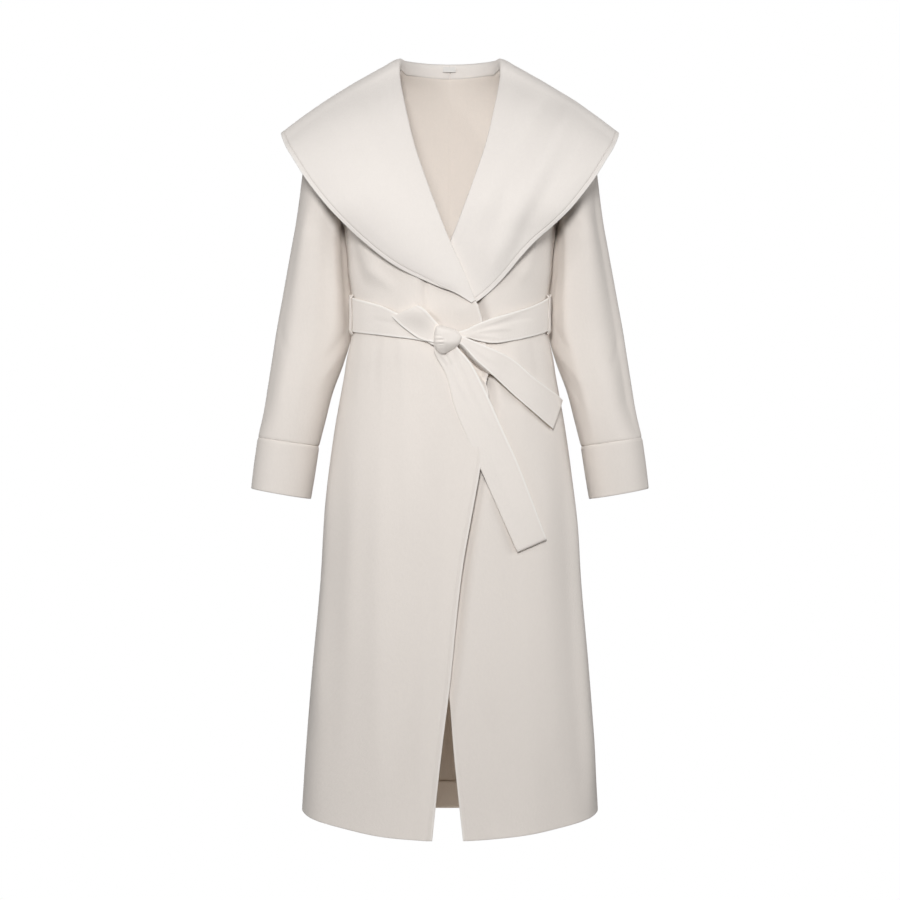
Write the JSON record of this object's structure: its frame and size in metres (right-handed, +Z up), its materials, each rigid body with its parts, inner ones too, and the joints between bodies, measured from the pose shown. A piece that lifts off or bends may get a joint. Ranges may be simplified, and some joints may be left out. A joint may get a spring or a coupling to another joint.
{
  "type": "wrap coat",
  "caption": "Hollow mid-calf wool wrap coat with a wide shawl collar, cuffed sleeves and a belt tied at the front, held in its worn shape.",
  "frame": {"origin": "middle of the neck opening, level with the shoulders' rest at the top of the collar roll, where the wearer's shoulders hold the coat up", "axes": "+Z up along the coat's length, -Y the coat's front, +X the wearer's left"},
  "size_m": [0.609, 0.3244, 1.1716],
  "materials": {
    "coat_wool": "brushed double-faced wool, matt with a soft nap",
    "collar_wool": "brushed double-faced wool, matt with a soft nap",
    "belt_wool": "brushed double-faced wool, matt with a soft nap",
    "label_tape": "plain woven tape, blank"
  },
  "bodies": {
    "root": {"front_right_top": "coat_wool", "front_right_skirt": "coat_wool", "front_left_top": "coat_wool", "front_left_skirt": "coat_wool", "back_right_top": "coat_wool", "back_right_skirt": "coat_wool", "back_left_top": "coat_wool", "back_left_skirt": "coat_wool", "back_hem_turnup": "coat_wool", "sleeve_right_upper": "coat_wool", "sleeve_right_lower": "coat_wool", "sleeve_left_upper": "coat_wool", "sleeve_left_lower": "coat_wool", "cuff_right": "coat_wool", "cuff_left": "coat_wool", "collar_right": "collar_wool", "collar_left": "collar_wool", "belt_band": "belt_wool", "belt_knot": "belt_wool", "belt_loop": "belt_wool", "belt_tail_long": "belt_wool", "belt_tail_short": "belt_wool", "belt_carrier_right": "belt_wool", "belt_carrier_left": "belt_wool", "neck_label": "label_tape"}
  },
  "joints": []
}
